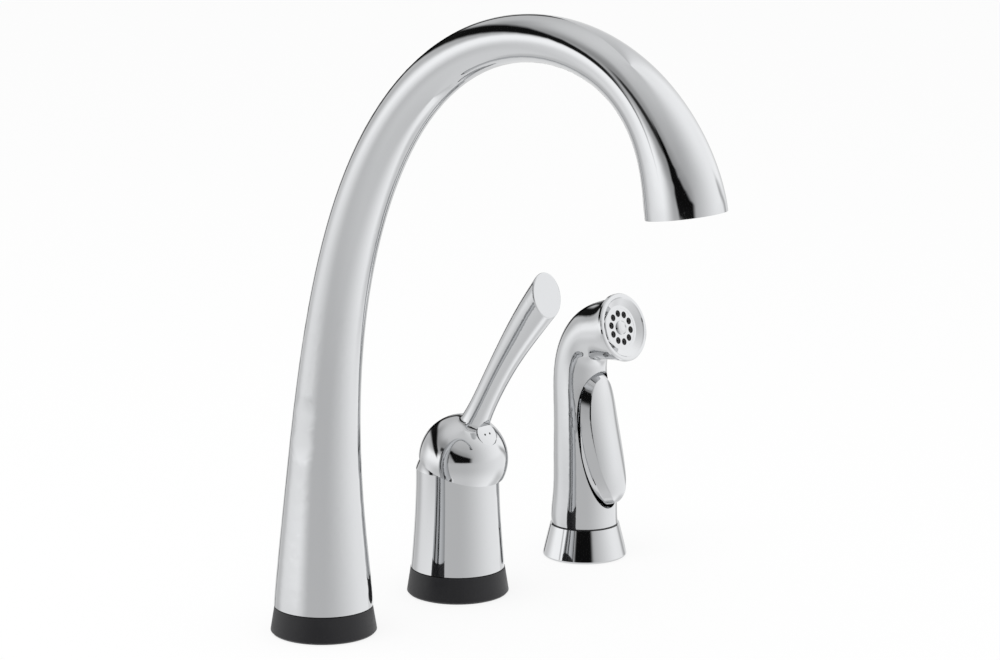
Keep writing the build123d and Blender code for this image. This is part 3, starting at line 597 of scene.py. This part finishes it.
# %% [markdown]
# Two small springs sit where a stiff solid can't follow: one brings the trigger back and the other
# closes the diverter. Each is wound from a round wire, and its end turns are then drawn together,
# as a spring's are, so that it stands square.

# %% How a spring is wound
SPRING_TURNS = 5
SPRING_STEPS = 28
WIRE_SIDES = 10
END_CLOSING = 0.55              # 0 leaves the turns even, 1 brings the end turns together


def spring(name, node, body, foot, along, radius, wire, tall):
    """Wind a compression spring from foot in the direction along, in place of a CAD node."""
    deselect_objects()
    bpy.ops.mesh.primitive_circle_add(vertices=WIRE_SIDES, radius=wire,
                                      location=(radius, 0, 0), rotation=(pi / 2, 0, 0))
    piece = named(name)
    bpy.ops.object.transform_apply(location=True, rotation=True, scale=True)
    wind(piece, tall / SPRING_TURNS, SPRING_TURNS, SPRING_STEPS)
    for corner in piece.data.vertices:
        corner.co.z -= END_CLOSING * tall * sin(2 * pi * corner.co.z / tall) / (2 * pi)
    start_edit()
    close_ends()
    end_edit()
    piece.location = foot
    piece.rotation_euler = along.to_track_quat("Z", "Y").to_euler()
    settle(piece, body, "spring_steel", 60.0)
    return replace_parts(piece, node)


print("a spring has", SPRING_TURNS, "turns")

# %% [markdown]
# The trigger's spring pushes it away from the gland of the little valve behind it. The wand is
# turned a few degrees in its holder, so the spring is turned as well. The diverter's spring hangs
# from the roof of its chamber and presses the poppet down.

# %% The two springs
WAND_TURN = radians(3.5)
WAND_AHEAD = Vector((sin(WAND_TURN), -cos(WAND_TURN), 0))
GLAND_Z, GLAND_AHEAD = 62.0 * MM, 3.1 * MM
GLAND_FACE = Vector((SPRAY_X, 0, GLAND_Z)) + GLAND_AHEAD * WAND_AHEAD
return_spring = spring("trigger_return_spring", "trigger_spring", "wand", GLAND_FACE, WAND_AHEAD,
                       radius=2.9 * MM, wire=0.35 * MM, tall=5.6 * MM)
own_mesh(return_spring)

CHAMBER_ROOF_Z = 64.4 * MM
CHAMBER_TOP = Vector((SPOUT_X, 0, CHAMBER_ROOF_Z))
DOWN = Vector((0, 0, -1))
closing_spring = spring("diverter_closing_spring", "diverter_spring", "deck_assembly", CHAMBER_TOP,
                        DOWN, radius=6.6 * MM, wire=0.45 * MM, tall=11.5 * MM)
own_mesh(closing_spring)
print("springs", len(return_spring.data.polygons) + len(closing_spring.data.polygons), "faces")

# %% [markdown]
# The round button on the hood hides the screw that holds the lever. It carries two small dark
# marks for hot and cold. They are drops of enamel in two dimples: low domes, so each has its own
# spark of light, and a flat disc would not. The button's place is worked out from the hood's ball,
# which leans with the lever.

# %% Enamel drops on the index button
PIVOT_Z = 62.8 * MM
HOOD_RISE, HOOD_R = 13.5 * MM, 24.2 * MM
LEAN, BUTTON_RISE, BUTTON_TILT = radians(19.0), radians(43.0), radians(30.0)
BALL = Vector((VALVE_X, -HOOD_RISE * sin(LEAN), PIVOT_Z + HOOD_RISE * cos(LEAN)))
SEAT = BALL + HOOD_R * Vector((0, -cos(BUTTON_RISE), sin(BUTTON_RISE)))
BUTTON_OUT = Vector((0, -cos(BUTTON_TILT), sin(BUTTON_TILT)))
DROP_R, DROP_DEEP, DROP_SUNK = 0.59 * MM, 0.5 * MM, 0.05 * MM
DROP_APART = 3.6 * MM
DOME_INSET = 0.14 * MM
DOME_RISES = (0.072 * MM, 0.060 * MM, 0.040 * MM)

deselect_objects()
bpy.ops.mesh.primitive_cylinder_add(vertices=32, radius=DROP_R, depth=DROP_DEEP,
                                    rotation=BUTTON_OUT.to_track_quat("Z", "Y").to_euler())
drop = named("enamel_drop_pattern")
pick_faces(drop, lambda centre, normal: normal.z > 0.9)
for rise in DOME_RISES:
    bpy.ops.mesh.inset(thickness=DOME_INSET)
    bpy.ops.transform.translate(value=BUTTON_OUT * rise)
end_edit()
for name, side in (("hot_mark", -DROP_APART / 2), ("cold_mark", DROP_APART / 2)):
    place = SEAT - BUTTON_OUT * DROP_SUNK + Vector((side, 0, 0))
    settle(copied(drop, name, place), "handle", "dark_plastic", 60.0)
bpy.data.objects.remove(drop)
print("two enamel drops,", round(DROP_APART / MM, 1), "mm apart")

# %% [markdown]
# Chrome shows its surroundings, so the studio is as much a part of the picture as the metal. The
# backdrop is white. What gives chrome its shape is what a photographer hangs around it, and here
# that is painted on the world by direction. Every ray has a turn, in degrees from the camera's side
# of the row towards its right, and a rise above the horizon, and both come from the ray with a
# little maths. All the angles that follow are in degrees.

# %% Directions round the row
SIDE = CAMERA_RIGHT
FRONT = Vector((SIDE.y, -SIDE.x, 0.0))
ABOVE = Vector((0, 0, 1))


def headings(paint):
    """Turn and rise of a ray of the world, in degrees."""
    ray = paint.node("ShaderNodeTexCoord", out="Generated")
    dot = {"operation": "DOT_PRODUCT"}
    ahead, aside, upward = [paint.node("ShaderNodeVectorMath", dot, {0: ray, 1: way}, out="Value")
                            for way in (FRONT, SIDE, ABOVE)]
    degrees = 180.0 / pi
    turned = paint.node("ShaderNodeMath", {"operation": "ARCTAN2"}, {0: aside, 1: ahead})
    risen = paint.node("ShaderNodeMath", {"operation": "ARCSINE"}, {0: upward})
    return turned * degrees, risen * degrees


def between(value, low, high, soft):
    """1 from low to high, falling to 0 over soft on either side."""
    return rising(value, low - soft, low + soft) * falling(value, high - soft, high + soft)


scene = bpy.context.scene
scene.world = bpy.data.worlds.new("studio")
sky = Paint(scene.world)
turned, risen = headings(sky)
print("directions are ready")

# %% [markdown]
# First the white of the room, which isn't even. It is greyest straight ahead, where the camera
# stands in its own shadow, brightest to the right, and paler again overhead and on the floor. Each
# term below is one of those slow changes.

# %% The uneven white of the room
ROOM_LEVEL = 0.64
below = falling(risen, -5, 5)
steeply_below = falling(risen, -45, -15)
rightward = rising(turned, 0, 110)
leftward = falling(turned, -100, -20)
behind = rising(turned, 134, 166) + falling(turned, -180, -142)

level = ROOM_LEVEL + 0.13 * below + 0.28 * rising(risen, 25, 75)
level = level + 0.16 * below * steeply_below
level = level + rightward * (0.80 - 0.26 * below) * (1 - 0.42 * rising(risen, 30, 75))
level = level + 0.12 * leftward - 0.52 * behind * rightward
print("the room's level starts from", ROOM_LEVEL)

# %% [markdown]
# Then two bright panels on the left. They light the left sides of the spout and the valve, and
# their soft edges are what makes a round tube look round.

# %% Bright panels on the left
side_panel = between(turned, -116, -50, 18) * rising(risen, -24, 3) * falling(risen, 7, 18)
low_panel = between(turned, -116, -92, 16) * between(risen, -26, -10, 10)
panels = [(side_panel, 1.55), (low_panel, 1.22)]
for mask, brightness in panels:
    level = level + mask * (brightness - level)
print(len(panels), "panels")

# %% [markdown]
# Now the black. Black is what makes chrome look hard: without it the same shape looks like grey
# plastic. A card above the lens slopes down to the right and makes the stripe inside the arch, with
# a softer shade round it. A hoop behind on the left makes the crescent on the arch's shoulder and
# on the hood.

# %% The card above the lens and the hoop on the left
def hoop(peak_turn, peak_rise, bend, low, high, half, soft):
    """A band that rises to a peak and falls away on both sides, between two turns."""
    away = turned - peak_turn
    middle = peak_rise - bend * (away * away)
    return between(risen - middle, -half, half, soft) * between(turned, low, high, 4.0)


slope = risen + 0.30 * turned
lens_card = between(slope, -90, 19, 2.2) * rising(risen, 0, 3.5)
lens_card = lens_card * rising(turned + 0.75 * risen, -24, -17) * falling(turned, 15, 27)
lens_shade = between(slope, 0, 27, 8) * between(turned, -72, 22, 12) * rising(risen, 3, 12)
far_hoop = hoop(-115, 29, 0.0098, low=-190, high=-73, half=6.8, soft=2.6)
near_hoop = hoop(-50, 26, 0, low=-70, high=-30, half=4.0, soft=2.4)
print("lens card and hoop are up")

# %% [markdown]
# A few grey shapes finish the room: a shade under the ceiling on the left, a streak and a dark
# strip behind, and two patches on the floor. Each mask takes its share of the light away.

# %% Shades round the room, and all the dark shapes together
left_shade = between(turned, -140, -66, 14) * between(risen, 26, 42, 14)
streak = between(risen + 0.67 * turned, 83, 89, 5) * between(turned, 116, 156, 6)
far_strip = between(turned, -190, -149, 3) * between(risen + 0.9 * turned, -152, -133, 4)
floor_left = between(turned, -146, -118, 8) * between(risen, -60, -12, 6)
floor_right = between(turned, 104, 146, 14) * between(risen, -65, -25, 8)
dark_shapes = [
    (left_shade, 0.50),
    (lens_shade, 0.32),
    (streak, 0.66),
    (floor_left, 0.22),
    (floor_right, 0.34),
    (far_strip, 0.90),
    (far_hoop, 0.985),
    (near_hoop, 0.93),
    (lens_card, 0.985),
]
for mask, darkness in dark_shapes:
    level = level * (1 - darkness * mask)
print(len(dark_shapes), "dark shapes")

# %% [markdown]
# The world is drawn three ways. A mirror sees the panels and cards. The camera, straight or
# through something clear, sees plain white. Everything matt is lit by an even white, so the black
# cards don't make odd shadows on it.

# %% What each kind of ray sees
SOFT_FILL = 0.80


def is_ray(paint, kind):
    return paint.node("ShaderNodeLightPath", out=f"Is {kind} Ray")


in_mirror = is_ray(sky, "Glossy")
straight = is_ray(sky, "Camera") + is_ray(sky, "Transmission")
strength = in_mirror * level + straight + (1 - in_mirror) * (1 - straight) * SOFT_FILL
background = sky.node("ShaderNodeBackground", None, {"Color": (1, 1, 1, 1), "Strength": strength})
sky.node("ShaderNodeOutputWorld", None, {"Surface": background})
print("fill light", SOFT_FILL)

# %% [markdown]
# One soft lamp overhead gives the matt parts their shape and the table its faint shadow. It is
# large, so the shadow has no edge. Chrome doesn't show it, because the panels above already say
# what a mirror sees.

# %% The overhead lamp
LAMP_PLACE = Vector((-0.55, -0.15, 1.9))
LAMP_AIM = Vector((0.1, 0.0, 0.1))
LAMP_LONG, LAMP_WIDE = 1.5, 1.2
LAMP_WATTS = 12.0

bpy.ops.object.light_add(type="AREA", location=LAMP_PLACE)
lamp = named("overhead_softbox")
lamp.data.shape = "RECTANGLE"
lamp.data.size, lamp.data.size_y = LAMP_LONG, LAMP_WIDE
lamp.data.energy = LAMP_WATTS
lamp.rotation_euler = (LAMP_AIM - LAMP_PLACE).to_track_quat("-Z", "Y").to_euler()
lamp.visible_camera = lamp.visible_glossy = False
print("lamp of", LAMP_WATTS, "W at", [round(v, 2) for v in LAMP_PLACE])

# %% [markdown]
# The table stands for the worktop: the units' feet rest on it and their shanks go through it. It
# is pale and plain. Most of what the camera sees of it is plain white, and the rest is its own
# matt surface, so the shadow under each foot stays. Mirrors look past it to the studio's panels.

# %% The pale table
TABLE_WIDE = 14.0
TABLE_MIDDLE = (0.1, 0, 0)
TABLE_WHITE = (0.97, 0.97, 0.97, 1)
WHITE_SHARE = 0.84              # of what is seen of it that is plain white

deselect_objects()
bpy.ops.mesh.primitive_plane_add(size=TABLE_WIDE, location=TABLE_MIDDLE)
table = named("pale_table")
skin = Paint(bpy.data.materials.new("pale_table_skin"))
matt = skin.node("ShaderNodeBsdfDiffuse", None, {"Color": TABLE_WHITE})
white = skin.node("ShaderNodeEmission", None, {"Color": (1, 1, 1, 1), "Strength": 1.0})
shown = is_ray(skin, "Camera") + is_ray(skin, "Transmission") + is_ray(skin, "Glossy")
surface = skin.node("ShaderNodeMixShader", None, {0: shown * WHITE_SHARE, 1: matt, 2: white})
skin.node("ShaderNodeOutputMaterial", None, {"Surface": surface})
table.data.materials.append(skin.owner)
table.visible_glossy = False
table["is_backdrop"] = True
print("table is", table.dimensions.x, "m wide")

# %% [markdown]
# Mirrors look past the table, so the brass fittings under it would tint the chrome above, which
# no real worktop lets happen. A white sleeve stands round the fittings of each unit. Only mirrors
# see it, and only from outside, so the fittings themselves keep their own look.

# %% White sleeves round the fittings below
SLEEVE_GLOW = 1.05
SLEEVE_R, SLEEVE_TALL, SLEEVE_TOP = 36 * MM, 85 * MM, -1 * MM

lining = Paint(bpy.data.materials.new("white_sleeve_skin"))
glow = lining.node("ShaderNodeEmission", None, {"Color": (1, 1, 1, 1), "Strength": SLEEVE_GLOW})
inside = lining.node("ShaderNodeNewGeometry", out="Backfacing")
clear = lining.node("ShaderNodeBsdfTransparent")
outside_only = lining.node("ShaderNodeMixShader", None, {0: inside, 1: glow, 2: clear})
lining.node("ShaderNodeOutputMaterial", None, {"Surface": outside_only})
for unit, x in enumerate((SPOUT_X, VALVE_X, SPRAY_X)):
    deselect_objects()
    bpy.ops.mesh.primitive_cylinder_add(vertices=64, radius=SLEEVE_R, depth=SLEEVE_TALL,
                                        location=(x, 0, SLEEVE_TOP - SLEEVE_TALL / 2))
    sleeve = named(f"white_sleeve_{unit + 1}")
    sleeve.data.materials.append(lining.owner)
    sleeve.visible_camera = sleeve.visible_diffuse = False
    sleeve.visible_shadow = sleeve.visible_transmission = False
    sleeve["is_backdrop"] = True
print("three sleeves of", round(SLEEVE_R / MM), "mm keep the brass out of the chrome")

# %% [markdown]
# Last, the picture settings and the measure of the whole. Standard keeps white white and leaves
# every colour as it was written. The box of the dressed model is measured against the CAD model's,
# and the largest change is printed, so that a piece that grew past the real size would be seen at
# once.

# %% Picture settings and the size of the whole
scene.view_settings.view_transform = "Standard"
dressed_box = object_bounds()
grew = [abs(new[axis] - old[axis]) for old, new in zip(cad_box, dressed_box) for axis in range(3)]
print("grew by", round(max(grew), 6), "m")
